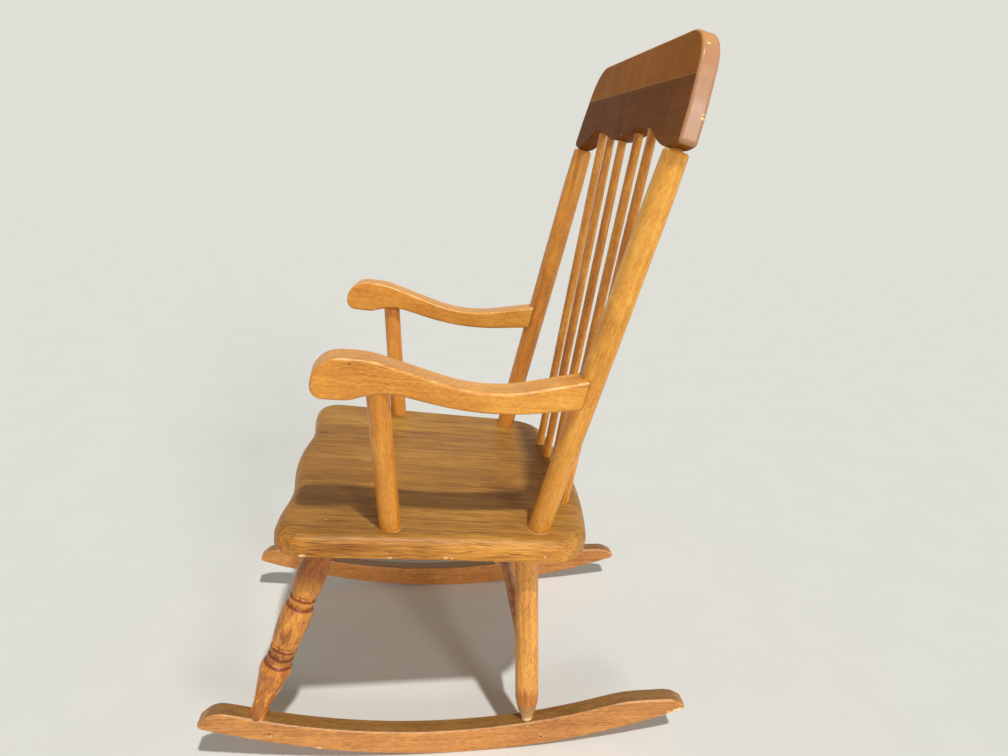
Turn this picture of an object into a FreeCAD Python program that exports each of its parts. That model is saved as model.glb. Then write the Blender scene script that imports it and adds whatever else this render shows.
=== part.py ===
"""Child's comb-back rocking chair: plank seat, turned legs, bent arms and two rockers.

Lengths are in millimetres and angles in degrees. The pieces are laid out in the chair's own frame: its origin
is on the top of the seat, X runs to the sitter's left, Y to the back and Z square to the seat. The finished
chair is then tipped back until its centre of mass stands over the lowest point of the rockers, which is how
it comes to rest, and set down on the floor.
"""

import FreeCAD, Part
import math
import os
import Sketcher

SIZES = {
    # seat
    "seat_thickness": 24.0,
    "seat_front_reach": 169.5,
    "seat_back_reach": 176.0,
    "seat_front_width": 374.6,
    "seat_back_width": 351.0,
    "seat_front_corner": 31.0,
    "seat_back_corner": 50.0,
    "seat_back_crown": 22.0,
    "seat_edge_round": 13.5,
    "seat_low_edge_round": 2.5,
    "seat_board_width": 98.0,
    # crest rail
    "crest_lean": 8.95,
    "crest_back": 171.0,
    "crest_rise": 412.5,
    "crest_height": 105.7,
    "crest_low_height": 1.0,
    "crest_low_round": 230.0,
    "crest_peak_spread": 99.0,
    "crest_peak_height": 20.2,
    "crest_peak_round": 86.0,
    "crest_ear_start": 158.0,
    "crest_ear_start_round": 110.0,
    "crest_ear_end": 192.0,
    "crest_ear_end_round": 50.0,
    "crest_ear_drop": 4.2,
    "crest_tip_spread": 207.0,
    "crest_tip_round": 5.0,
    "crest_end_spread": 203.0,
    "crest_end_height": 34.0,
    "crest_end_round": 120.0,
    "crest_shoulder_spread": 186.5,
    "crest_shoulder_round": 47.0,
    "crest_thickness": 19.0,
    "crest_glue_line": 61.0,
    "crest_edge_round": 3.5,
    # back posts
    "post_foot_inset": 26.5,
    "post_foot_back": 105.0,
    "post_top_spread": 185.0,
    "post_foot_diameter": 23.5,
    "post_waist_diameter": 26.8,
    "post_waist_height": 250.0,
    "post_neck_height": 370.0,
    "post_top_diameter": 25.0,
    "post_shoulder_diameter": 21.0,
    "post_chamfer": 2.0,
    "post_top_gap": 1.3,
    "post_tenon_diameter": 12.0,
    "post_depth_in_crest": 30.0,
    "post_foot_tenon_diameter": 14.0,
    "post_depth_in_seat": 16.0,
    # spindles
    "spindle_diameter": 11.0,
    "spindle_end_diameter": 10.0,
    "spindle_inner_foot": 43.5,
    "spindle_outer_foot": 84.0,
    "spindle_inner_top": 56.0,
    "spindle_outer_top": 99.0,
    "spindle_middle_back": 150.0,
    "spindle_inner_back": 148.8,
    "spindle_outer_back": 146.8,
    "spindle_middle_height": 5.1,
    "spindle_inner_height": 11.6,
    "spindle_outer_height": 16.4,
    "spindle_depth_in_seat": 14.0,
    "spindle_depth_in_crest": 18.0,
    # arms
    "arm_width": 33.0,
    "arm_out_of_post": 1.75,
    "arm_in_of_support": 3.8,
    "arm_front": 140.0,
    "arm_knob_top": 188.5,
    "arm_knob_bottom": 147.6,
    "arm_knob_round": 26.5,
    "arm_chin_round": 12.5,
    "arm_crown": 88.0,
    "arm_crown_round": 90.0,
    "arm_hollow_back": 27.0,
    "arm_hollow_height": 156.9,
    "arm_hollow_round": 180.0,
    "arm_rear": 121.5,
    "arm_rear_low": 149.6,
    "arm_rear_rise": 30.4,
    "arm_rear_lean": 4.7,
    "arm_belly_height": 136.6,
    "arm_belly_round": 310.0,
    "arm_throat": 74.7,
    "arm_throat_height": 158.2,
    "arm_throat_round": 78.0,
    "arm_lip": 104.0,
    "arm_lip_round": 28.0,
    "arm_edge_round": 3.0,
    # arm supports
    "support_diameter": 22.0,
    "support_foot_inset": 26.3,
    "support_foot_forward": 53.0,
    "support_top_spread": 185.0,
    "support_top_forward": 77.5,
    "support_top_height": 154.0,
    "support_tenon_diameter": 14.0,
    "support_depth_in_arm": 16.0,
    "support_depth_in_seat": 16.0,
    # front legs
    "front_leg_top_inset": 54.3,
    "front_leg_top_forward": 117.0,
    "front_leg_foot_forward": 174.5,
    "front_leg_foot_diameter": 18.6,
    "front_leg_foot_height": 13.0,
    "front_leg_swell_height": 50.0,
    "front_leg_swell_diameter": 31.6,
    "front_leg_vase_height": 58.0,
    "front_leg_vase_diameter": 33.2,
    "front_leg_ring_diameter": 28.6,
    "front_leg_groove_diameter": 25.6,
    "front_leg_groove_half": 1.2,
    "front_leg_low_groove": 67.5,
    "front_leg_ring_pitch": 9.2,
    "front_leg_body_start": 29.4,
    "front_leg_body_height": 120.0,
    "front_leg_body_diameter": 33.2,
    "front_leg_body_bow": 0.7,
    "front_leg_waist_bow": 1.0,
    "front_leg_high_groove": 135.5,
    "front_leg_high_pitch": 10.6,
    "front_leg_barrel_height": 167.0,
    "front_leg_barrel_diameter": 32.0,
    "front_leg_neck_height": 187.0,
    "front_leg_neck_diameter": 28.0,
    "front_leg_top_diameter": 24.6,
    # rear legs
    "rear_leg_top_inset": 42.5,
    "rear_leg_top_back": 98.0,
    "rear_leg_foot_back": 123.0,
    "rear_leg_diameter": 26.2,
    "rear_leg_top_diameter": 24.6,
    "rear_leg_point_height": 34.0,
    "rear_leg_point_start": 2.0,
    "rear_leg_point_diameter": 21.2,
    "rear_leg_point_middle": 13.0,
    # tenons of the legs
    "leg_tenon_diameter": 16.0,
    "leg_depth_in_seat": 15.0,
    "foot_tenon_diameter": 12.6,
    "foot_depth_in_rocker": 14.0,
    # rockers
    "rocker_spread": 156.8,
    "rocker_thickness": 19.0,
    "rocker_arc": 829.0,
    "rocker_arc_forward": 12.0,
    "rocker_arc_low": 277.8,
    "rocker_top_arc": 773.0,
    "rocker_top_forward": 27.0,
    "rocker_top_low": 249.3,
    "rocker_toe": 240.0,
    "rocker_point_round": 5.0,
    "rocker_toe_brow": 220.0,
    "rocker_toe_brow_low": 226.5,
    "rocker_toe_round": 22.0,
    "rocker_toe_flat": 196.0,
    "rocker_heel": 313.5,
    "rocker_brow_back": 291.0,
    "rocker_brow_low": 199.5,
    "rocker_brow_round": 34.0,
    "rocker_flat_back": 232.0,
    "rocker_flat_round": 150.0,
    "rocker_edge_round": 3.0,
    "rocker_worn_flat": 0.4,
    # stretchers
    "stretcher_diameter": 14.0,
    "stretcher_short_of_axis": 3.0,
    # nail holes and dowels
    "nail_hole_diameter": 2.4,
    "nail_hole_depth": 2.0,
    "front_nail_forward": 160.0,
    "rear_nail_back": 140.3,
    "nail_low": 252.2,
    "arm_dowel_diameter": 8.0,
    "arm_dowel_start": 101.0,
    "arm_dowel_length": 28.0,
    "arm_dowel_height": 164.5,
    # fits
    "glue_gap": 0.1,
    "socket_room": 0.8,
    "shoulder_lap": 3.5,
    "overrun": 6.0,
}

STRETCHER_HEIGHT_SHARE = 0.33
FRONT_HOLLOW_START_SHARE = 0.307
FRONT_HOLLOW_END_SHARE = 0.142
FRONT_BULGE_SHARE = 0.04
HALF = 0.5
TWICE = 2
FULL_TURN = 360
SEAT_BOARD_COUNT = 4
LOW_GROOVE_COUNT = 3
HIGH_GROOVE_COUNT = 2

doc = FreeCAD.newDocument("rocking_chair")
sheet = doc.addObject("Spreadsheet::Sheet", "dims")
sheet.Label = "dims"
for row, (size_name, size_value) in enumerate(SIZES.items(), start=1):
    sheet.set(f"A{row}", size_name)
    sheet.set(f"B{row}", str(size_value))
    sheet.setAlias(f"B{row}", size_name)
doc.recompute()


class Size:
    """A number together with the sheet expression that gives it."""

    def __init__(self, value, text):
        self.value = float(value)
        self.text = text

    def __add__(self, other):
        return Size(self.value + other.value, f"({self.text} + {other.text})")

    def __sub__(self, other):
        return Size(self.value - other.value, f"({self.text} - {other.text})")

    def __mul__(self, factor):
        return Size(self.value * factor, f"({self.text} * {factor:.9f})")

    def __neg__(self):
        return Size(-self.value, f"(0 - {self.text})")

    def squared(self):
        return Size(self.value ** 2, f"({self.text})^2")

    def root(self):
        return Size(math.sqrt(self.value), f"sqrt({self.text})")


ZERO = Size(0, "0")


def size(name):
    """Named size with its sheet expression."""
    return Size(SIZES[name], f"dims.{name}")


def num(name):
    """Plain number of a named size."""
    return SIZES[name]


def vec(x, y, z):
    return FreeCAD.Vector(x, y, z)


def between(start, end, share):
    """Point at a share of the way from start to end."""
    return start + (end - start) * share


def middle(first, second):
    return (first + second) * HALF


# Bookkeeping: what is laid out, and where

laid_out = []
nodes = []


def place(item, placement):
    """Put an object at its place in the chair's frame and remember it."""
    item.Placement = placement
    laid_out.append((item, placement))
    return item


def along(start, direction):
    """Placement at start with its Z axis along direction."""
    return FreeCAD.Placement(start, FreeCAD.Rotation(vec(0, 0, 1), direction))


def moved(x, y, z):
    return FreeCAD.Placement(vec(x, y, z), FreeCAD.Rotation())


def node(item, name):
    """Name a finished piece."""
    item.Label = name
    nodes.append(item)
    return item


# Outlines and bodies

class Outline:
    """A closed sketch outline whose corners and arc points are tied to the sheet."""

    def __init__(self, body, plane_role):
        self.sketch = body.newObject("Sketcher::SketchObject", body.Name + "_outline")
        planes = [plane for plane in body.Origin.OriginFeatures if plane.Role == plane_role]
        self.sketch.AttachmentSupport = [(planes[0], "")]
        self.sketch.MapMode = "FlatFace"
        self.plane_axes = plane_role[:2].lower()
        self.points = []
        self.through = []
        self.corners = {}
        self.count = 0

    def start(self, x, y):
        self.points.append((x, y))
        return self

    def line(self, x, y):
        """Straight edge to a point."""
        self.points.append((x, y))
        self.through.append(None)
        return self

    def corner(self, x, y, radius_name):
        """Straight edge to a corner that is rounded once the board is drawn."""
        self.rounded(x, y, radius_name)
        return self.line(x, y)

    def rounded(self, x, y, radius_name):
        self.corners.setdefault(radius_name, []).append((x.value, y.value))

    def arc(self, middle_x, middle_y, x, y):
        """Round edge through a point to another point."""
        self.points.append((x, y))
        self.through.append((middle_x, middle_y))
        return self

    def bow(self, side, rise, x, y):
        """Round edge to a point, bulging from the middle of its chord by side and rise."""
        last_x, last_y = self.points[-1]
        return self.arc(middle(last_x, x) + side, middle(last_y, y) + rise, x, y)

    def tie(self, geometry, end, point):
        """Hold one point of the geometry at its place."""
        for kind, wanted, axis in (("DistanceX", point[0], -2), ("DistanceY", point[1], -1)):
            if wanted.text == "0":
                self.sketch.addConstraint(Sketcher.Constraint("PointOnObject", geometry, end, axis))
                continue
            rule = Sketcher.Constraint(kind, -1, 1, geometry, end, wanted.value)
            index = self.sketch.addConstraint(rule)
            self.count += 1
            label = f"place_{self.count}"
            self.sketch.renameConstraint(index, label)
            self.sketch.setExpression(f"Constraints.{label}", wanted.text)

    def close(self):
        """Draw all edges, the last of them back to the start."""
        places = [vec(x.value, y.value, 0) for x, y in self.points]
        total = len(self.points)
        if len(self.through) < total:
            self.through.append(None)
        edges = []
        for index, through in enumerate(self.through):
            first = places[index]
            last = places[(index + 1) % total]
            if through is None:
                edge = self.sketch.addGeometry(Part.LineSegment(first, last), False)
                edges.append((edge, 1, 2))
                continue
            on_arc = vec(through[0].value, through[1].value, 0)
            edge = self.sketch.addGeometry(Part.Arc(first, on_arc, last), False)
            drawn_start = self.sketch.getPoint(edge, 1)
            same_way = drawn_start.distanceToPoint(first) < drawn_start.distanceToPoint(last)
            edges.append((edge, 1, 2) if same_way else (edge, 2, 1))
        for index, (edge, first_end, last_end) in enumerate(edges):
            self.tie(edge, first_end, self.points[index])
            before = edges[index - 1]
            rule = Sketcher.Constraint("Coincident", before[0], before[2], edge, first_end)
            self.sketch.addConstraint(rule)
        for (edge, *_), through in zip(edges, self.through):
            if through is None:
                continue
            mark = Part.Point(vec(through[0].value, through[1].value, 0))
            spot = self.sketch.addGeometry(mark, True)
            self.sketch.addConstraint(Sketcher.Constraint("PointOnObject", spot, 1, edge))
            self.tie(spot, 1, through)
        self.sketch.Visibility = False
        return self.sketch


def new_body(name):
    return doc.addObject("PartDesign::Body", name)


def pad(body, sketch, length):
    """Board of a thickness from an outline."""
    feature = body.newObject("PartDesign::Pad", body.Name + "_board")
    feature.Profile = sketch
    feature.Length = length.value
    feature.setExpression("Length", length.text)
    doc.recompute()
    return feature


def turn(body, sketch):
    """Round piece turned about the upright axis of its sketch."""
    feature = body.newObject("PartDesign::Revolution", body.Name + "_turned")
    feature.Profile = sketch
    feature.ReferenceAxis = (sketch, ["V_Axis"])
    feature.Angle = FULL_TURN
    doc.recompute()
    return feature


def soften(body, base, radius, wanted):
    """Round the edges of the last feature that the test picks."""
    names = []
    for index, edge in enumerate(base.Shape.Edges, start=1):
        if wanted(edge):
            names.append(f"Edge{index}")
    feature = body.newObject("PartDesign::Fillet", body.Name + "_rounding")
    feature.Base = (base, names)
    feature.Radius = radius.value
    feature.setExpression("Radius", radius.text)
    doc.recompute()
    return feature


def flat_in(axis, *levels):
    """Test for edges that lie in a plane square to an axis."""
    def test(edge):
        places = [getattr(vertex.Point, axis) for vertex in edge.Vertexes]
        places.append(getattr(edge.CenterOfMass, axis))
        slack = num("glue_gap")
        return any(all(abs(place_on - level) < slack for place_on in places) for level in levels)
    return test


def round_corners(body, base, outline):
    """Round the upright edges at the outline's rounded corners, one radius after another."""
    first, second = outline.plane_axes
    slack = num("glue_gap")
    for radius_name, corners in outline.corners.items():
        def wanted(edge, places=corners):
            for x, y in places:
                gaps = [abs(getattr(vertex.Point, first) - x) for vertex in edge.Vertexes]
                gaps += [abs(getattr(vertex.Point, second) - y) for vertex in edge.Vertexes]
                if max(gaps) < slack:
                    return True
            return False
        base = soften(body, base, size(radius_name), wanted)
    return base


# Drilling and fitting

def rod(name, start, direction, diameter, length):
    """Round bar from start along direction, used as a drill or a dowel."""
    bar = doc.addObject("Part::Cylinder", name)
    radius = diameter * HALF
    bar.Radius = radius.value
    bar.setExpression("Radius", radius.text)
    bar.Height = length.value
    bar.setExpression("Height", length.text)
    return place(bar, along(start, direction))


def drill(name, start, direction, diameter, inward, outward):
    """Hole tool: inward along direction from start, and outward the other way to clear the surface."""
    unit = direction.normalize()
    begin = start - unit * outward.value
    return rod(name, begin, unit, diameter + size("glue_gap") * TWICE, inward + outward)


def gathered(name, tools):
    if len(tools) == 1:
        return tools[0]
    union = doc.addObject("Part::MultiFuse", name)
    union.Shapes = tools
    return union


def cut(name, base, tools):
    """Base piece less a set of tools."""
    result = doc.addObject("Part::Cut", name)
    result.Base = base
    result.Tool = gathered(name + "_tools", tools)
    doc.recompute()
    return result


def slab(name, base, placement, length, width, height):
    """The part of a base that lies in a box."""
    box = doc.addObject("Part::Box", name + "_slab")
    for side, wanted in (("Length", length), ("Width", width), ("Height", height)):
        setattr(box, side, wanted.value)
        box.setExpression(side, wanted.text)
    place(box, placement)
    piece = doc.addObject("Part::Common", name + "_piece")
    piece.Base = base
    piece.Tool = box
    doc.recompute()
    return piece


# Places in the chair's frame

CREST_TURN = FreeCAD.Rotation(vec(1, 0, 0), -num("crest_lean"))
CREST_FRAME = FreeCAD.Placement(vec(0, num("crest_back"), num("crest_rise")), CREST_TURN)
SEAT_BOTTOM = -num("seat_thickness")


def on_crest(x, height):
    """Point of the crest rail's middle plane."""
    return CREST_FRAME.multVec(vec(x, 0, height))


def arc_z(y, forward, low, radius):
    """Height at y of a hollow arc whose lowest point is at -forward and -low."""
    reach = y + forward
    return radius - low - (radius.squared() - reach.squared()).root()


def rocker_bottom_z(y):
    return arc_z(y, size("rocker_arc_forward"), size("rocker_arc_low"), size("rocker_arc"))


def rocker_top_z(y):
    return arc_z(y, size("rocker_top_forward"), size("rocker_top_low"), size("rocker_top_arc"))


class Axis:
    """Centre line of a turned piece, from its lower shoulder to its upper one."""

    def __init__(self, foot, top):
        self.foot = foot
        self.top = top
        self.way = (top - foot).normalize()
        self.length = Size((top - foot).Length, f"{(top - foot).Length:.9f}")

    def at(self, share):
        return between(self.foot, self.top, share)

    def frame(self):
        return along(self.foot, self.way)


def inside_front(inset_name):
    """Distance from the middle of a place that lies inside the seat's front width."""
    return num("seat_front_width") * HALF - num(inset_name)


def inside_back(inset_name):
    """Distance from the middle of a place that lies inside the seat's back width."""
    return num("seat_back_width") * HALF - num(inset_name)


def post_axis(side):
    foot = vec(side * inside_back("post_foot_inset"), num("post_foot_back"), 0)
    return Axis(foot, on_crest(side * num("post_top_spread"), -num("crest_ear_drop")))


def support_axis(side):
    foot = vec(side * inside_front("support_foot_inset"), -num("support_foot_forward"), 0)
    top = vec(side * num("support_top_spread"), -num("support_top_forward"), num("support_top_height"))
    return Axis(foot, top)


def front_leg_axis(side):
    forward = size("front_leg_foot_forward")
    foot = vec(side * num("rocker_spread"), -forward.value, rocker_top_z(-forward).value)
    spread = inside_front("front_leg_top_inset")
    return Axis(foot, vec(side * spread, -num("front_leg_top_forward"), SEAT_BOTTOM))


def rear_leg_axis(side):
    back = size("rear_leg_foot_back")
    foot = vec(side * num("rocker_spread"), back.value, rocker_top_z(back).value)
    spread = inside_back("rear_leg_top_inset")
    return Axis(foot, vec(side * spread, num("rear_leg_top_back"), SEAT_BOTTOM))


SPINDLES = (
    (-1, "spindle_outer_foot", "spindle_outer_back", "spindle_outer_top", "spindle_outer_height"),
    (-1, "spindle_inner_foot", "spindle_inner_back", "spindle_inner_top", "spindle_inner_height"),
    (0, "spindle_inner_foot", "spindle_middle_back", "spindle_inner_top", "spindle_middle_height"),
    (1, "spindle_inner_foot", "spindle_inner_back", "spindle_inner_top", "spindle_inner_height"),
    (1, "spindle_outer_foot", "spindle_outer_back", "spindle_outer_top", "spindle_outer_height"),
)


def spindle_axis(row):
    side, foot_spread, foot_back, top_spread, height = row
    foot = vec(side * num(foot_spread), num(foot_back), 0)
    return Axis(foot, on_crest(side * num(top_spread), num(height)))


SIDES = (("left", 1), ("right", -1))

# Seat: one blank with a waved front edge, sawn into four edge-glued boards

seat_blank = new_body("seat_blank")
seat_lines = Outline(seat_blank, "XY_Plane")
front_width = size("seat_front_width")
front_half = front_width * HALF
hollow_start = front_width * FRONT_HOLLOW_START_SHARE
hollow_end = front_width * FRONT_HOLLOW_END_SHARE
middle_bulge = hollow_end * (TWICE * FRONT_BULGE_SHARE)
front_edge = middle_bulge - size("seat_front_reach")
back_edge = size("seat_back_reach") - size("seat_back_crown")
back_half = size("seat_back_width") * HALF


def front_wave(start_x, end_x, outward):
    """One wave of the front edge, its depth a share of its length."""
    rise = (end_x - start_x) * FRONT_BULGE_SHARE
    seat_lines.bow(ZERO, -rise if outward else rise, end_x, front_edge)


seat_lines.start(-front_half, front_edge)
seat_lines.rounded(-front_half, front_edge, "seat_front_corner")
front_wave(-front_half, -hollow_start, True)
front_wave(-hollow_start, -hollow_end, False)
seat_lines.arc(ZERO, -size("seat_front_reach"), hollow_end, front_edge)
front_wave(hollow_end, hollow_start, False)
front_wave(hollow_start, front_half, True)
seat_lines.rounded(front_half, front_edge, "seat_front_corner")
seat_lines.corner(back_half, back_edge, "seat_back_corner")
seat_lines.arc(ZERO, size("seat_back_reach"), -back_half, back_edge)
seat_lines.rounded(-back_half, back_edge, "seat_back_corner")
seat_pad = pad(seat_blank, seat_lines.close(), size("seat_thickness"))
seat_corners = round_corners(seat_blank, seat_pad, seat_lines)
top_edges = flat_in("z", num("seat_thickness"))
seat_topped = soften(seat_blank, seat_corners, size("seat_edge_round"), top_edges)
soften(seat_blank, seat_topped, size("seat_low_edge_round"), flat_in("z", 0))
place(seat_blank, moved(0, 0, SEAT_BOTTOM))

room = size("socket_room")
overrun = size("overrun")
seat_tools = []
for side_name, side in SIDES:
    for name, line, diameter, depth in (
        ("post", post_axis(side), "post_foot_tenon_diameter", "post_depth_in_seat"),
        ("support", support_axis(side), "support_tenon_diameter", "support_depth_in_seat"),
    ):
        label = f"{name}_{side_name}_seat_hole"
        hole = drill(label, line.foot, -line.way, size(diameter), size(depth) + room, overrun)
        seat_tools.append(hole)
    for name, line in (("front_leg", front_leg_axis(side)), ("rear_leg", rear_leg_axis(side))):
        label = f"{name}_{side_name}_seat_hole"
        depth = size("leg_depth_in_seat") + room
        seat_tools.append(drill(label, line.top, line.way, size("leg_tenon_diameter"), depth, overrun))
for number, row in enumerate(SPINDLES, start=1):
    line = spindle_axis(row)
    depth = size("spindle_depth_in_seat") + room
    label = f"spindle_{number}_seat_hole"
    seat_tools.append(drill(label, line.foot, -line.way, size("spindle_end_diameter"), depth, overrun))
seat_drilled = cut("seat_drilled", seat_blank, seat_tools)

board_width = size("seat_board_width")
board_length = size("seat_front_reach") + size("seat_back_reach") + overrun * TWICE
for number in range(SEAT_BOARD_COUNT):
    start_x = (number - SEAT_BOARD_COUNT * HALF) * board_width.value
    corner = moved(start_x, -num("seat_front_reach") - overrun.value, SEAT_BOTTOM - overrun.value)
    height = size("seat_thickness") + overrun * TWICE
    name = f"seat_board_{number + 1}"
    node(slab(name, seat_drilled, corner, board_width, board_length, height), name)

# Crest rail: one outline, two boards glued edge to edge

crest_blank = new_body("crest_blank")
lines = Outline(crest_blank, "XZ_Plane")


def crest_half(sign):
    """Signed places across, for one half of the crest rail."""
    def across(name):
        return size(name) if sign > 0 else -size(name)
    return across


crest_ends = (
    ("crest_peak_spread", size("crest_peak_height"), "crest_peak_round"),
    ("crest_ear_start", -size("crest_ear_drop"), "crest_ear_start_round"),
    ("crest_ear_end", -size("crest_ear_drop"), "crest_ear_end_round"),
    ("crest_tip_spread", ZERO, "crest_tip_round"),
    ("crest_end_spread", size("crest_end_height"), "crest_end_round"),
    ("crest_shoulder_spread", size("crest_height"), "crest_shoulder_round"),
)
lines.start(ZERO, size("crest_low_height"))
lines.rounded(ZERO, size("crest_low_height"), "crest_low_round")
for sign, order in ((1, crest_ends), (-1, crest_ends[::-1])):
    across = crest_half(sign)
    for spread, height, radius_name in order:
        lines.corner(across(spread), height, radius_name)
crest_pad = pad(crest_blank, lines.close(), size("crest_thickness"))
crest_rounded = round_corners(crest_blank, crest_pad, lines)
crest_sides = (crest_pad.Shape.BoundBox.YMin, crest_pad.Shape.BoundBox.YMax)
soften(crest_blank, crest_rounded, size("crest_edge_round"), flat_in("y", *crest_sides))
crest_centre = sum(crest_sides) * HALF
place(crest_blank, CREST_FRAME.multiply(moved(0, -crest_centre, 0)))

crest_tools = []
for side_name, side in SIDES:
    line = post_axis(side)
    depth = size("post_depth_in_crest") + room
    label = f"post_{side_name}_crest_hole"
    crest_tools.append(drill(label, line.top, line.way, size("post_tenon_diameter"), depth, overrun))
for number, row in enumerate(SPINDLES, start=1):
    line = spindle_axis(row)
    depth = size("spindle_depth_in_crest") + room
    label = f"spindle_{number}_crest_hole"
    crest_tools.append(drill(label, line.top, line.way, size("spindle_end_diameter"), depth, overrun))
crest_drilled = cut("crest_drilled", crest_blank, crest_tools)

crest_length = size("crest_tip_spread") * TWICE + overrun * TWICE
crest_depth = size("crest_thickness") + overrun * TWICE
lower_height = size("crest_glue_line") + overrun
upper_height = size("crest_height") - size("crest_glue_line") + overrun
corner_x = -num("crest_tip_spread") - overrun.value
corner_y = -num("crest_thickness") * HALF - overrun.value
lower_place = CREST_FRAME.multiply(moved(corner_x, corner_y, -overrun.value))
upper_place = CREST_FRAME.multiply(moved(corner_x, corner_y, num("crest_glue_line")))
lower = slab("crest_lower_board", crest_drilled, lower_place, crest_length, crest_depth, lower_height)
upper = slab("crest_upper_board", crest_drilled, upper_place, crest_length, crest_depth, upper_height)
node(lower, "crest_lower_board")
node(upper, "crest_upper_board")

# Rockers: hollow top arc, longer bottom arc, blunt toe and a long rounded heel. The floor stays where it is
# when the chair is tipped and set down, and takes off the sliver that use has worn flat.

floor = doc.addObject("Part::Box", "floor")
for floor_side, wanted in (
    ("Length", size("rocker_spread") * TWICE + size("rocker_thickness") * TWICE),
    ("Width", size("rocker_heel") * TWICE),
    ("Height", overrun),
):
    setattr(floor, floor_side, wanted.value)
    floor.setExpression(floor_side, wanted.text)
floor.Placement = moved(-floor.Length.Value * HALF, -num("rocker_heel"), -overrun.value)

rockers = {}
for side_name, side in SIDES:
    rocker_blank = new_body(f"rocker_{side_name}_blank")
    lines = Outline(rocker_blank, "YZ_Plane")
    toe = -size("rocker_toe")
    toe_flat = -size("rocker_toe_flat")
    heel = size("rocker_heel")
    flat = size("rocker_flat_back")
    lines.start(toe, rocker_bottom_z(toe))
    lines.rounded(toe, rocker_bottom_z(toe), "rocker_point_round")
    lines.arc(-size("rocker_arc_forward"), -size("rocker_arc_low"), heel, rocker_bottom_z(heel))
    lines.rounded(heel, rocker_bottom_z(heel), "rocker_point_round")
    lines.corner(size("rocker_brow_back"), -size("rocker_brow_low"), "rocker_brow_round")
    lines.corner(flat, rocker_top_z(flat), "rocker_flat_round")
    lines.arc(-size("rocker_top_forward"), -size("rocker_top_low"), toe_flat, rocker_top_z(toe_flat))
    lines.rounded(toe_flat, rocker_top_z(toe_flat), "rocker_flat_round")
    lines.corner(-size("rocker_toe_brow"), -size("rocker_toe_brow_low"), "rocker_toe_round")
    rocker_pad = pad(rocker_blank, lines.close(), size("rocker_thickness"))
    rocker_rounded = round_corners(rocker_blank, rocker_pad, lines)
    faces = flat_in("x", 0, num("rocker_thickness"))
    soften(rocker_blank, rocker_rounded, size("rocker_edge_round"), faces)
    place(rocker_blank, moved(side * num("rocker_spread") - num("rocker_thickness") * HALF, 0, 0))
    tools = [floor]
    for name, line in (("front", front_leg_axis(side)), ("rear", rear_leg_axis(side))):
        depth = size("foot_depth_in_rocker") + room
        label = f"rocker_{side_name}_{name}_hole"
        tools.append(drill(label, line.foot, -line.way, size("foot_tenon_diameter"), depth, overrun))
    outer = side * (num("rocker_spread") + num("rocker_thickness") * HALF)
    for name, place_y in (("front", -num("front_nail_forward")), ("rear", num("rear_nail_back"))):
        start = vec(outer, place_y, -num("nail_low"))
        label = f"rocker_{side_name}_{name}_nail_hole"
        depth = size("nail_hole_depth")
        tools.append(drill(label, start, vec(-side, 0, 0), size("nail_hole_diameter"), depth, overrun))
    rockers[side_name] = node(cut(f"rocker_{side_name}", rocker_blank, tools), f"rocker_{side_name}")

# Arms: bent side outline with a rounded knob in front, coped round the post behind

cope_share = num("arm_dowel_height") / num("post_waist_height")
foot_diameter = size("post_foot_diameter")
cope_diameter = foot_diameter + (size("post_waist_diameter") - foot_diameter) * cope_share
arms = {}


def arm_place(side):
    """Placement of an arm, from beside its post to beside its support, and its turn."""
    post = post_axis(side)
    post_x = post.at(num("arm_dowel_height") / post.top.z).x
    rear_x = post_x + side * num("arm_out_of_post")
    front_x = side * (num("support_top_spread") - num("arm_in_of_support"))
    splay = math.atan2(front_x - rear_x, num("arm_rear") + num("support_top_forward"))
    rotation = FreeCAD.Rotation(vec(0, 0, 1), math.degrees(splay))
    return FreeCAD.Placement(vec(rear_x + num("arm_rear") * math.sin(splay), 0, 0), rotation)


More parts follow.
